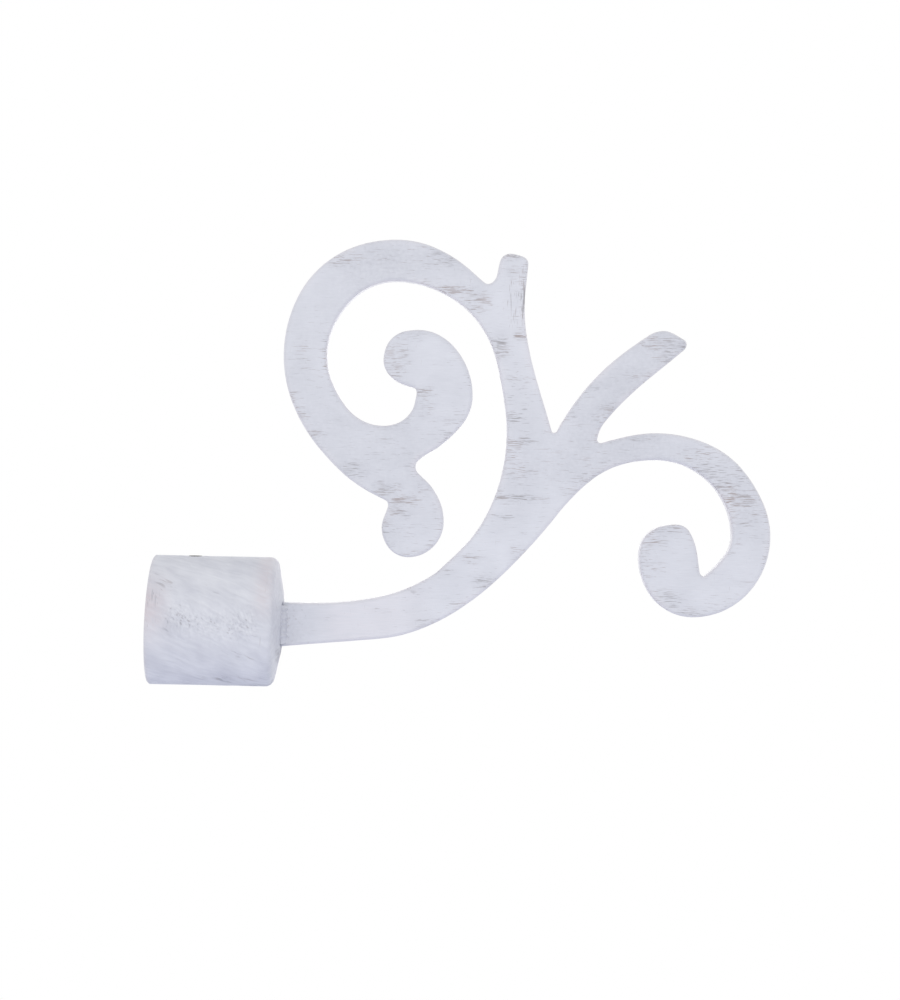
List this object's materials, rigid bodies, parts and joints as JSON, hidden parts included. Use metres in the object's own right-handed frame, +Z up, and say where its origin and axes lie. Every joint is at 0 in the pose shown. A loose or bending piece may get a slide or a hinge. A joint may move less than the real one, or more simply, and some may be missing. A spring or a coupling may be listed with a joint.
{
  "type": "curtain finial",
  "caption": "Flat scrolled curtain finial in distressed white paint, welded to a round cap that slips over the end of a curtain pole and is held by a grub screw.",
  "frame": {"origin": "centre of the socket's mouth", "axes": "+X along the pole axis from the mouth towards the scroll, +Z up, the scroll flat in the plane Y = 0 with its front towards -Y"},
  "size_m": [0.1527, 0.032, 0.1112],
  "materials": {
    "painted_iron": "off-white paint dry-brushed over a taupe undercoat, satin",
    "screw_steel": "dark oxide, satin"
  },
  "bodies": {
    "root": {"end_cap": "painted_iron", "scroll": "painted_iron", "grub_screw": "screw_steel"}
  },
  "joints": []
}
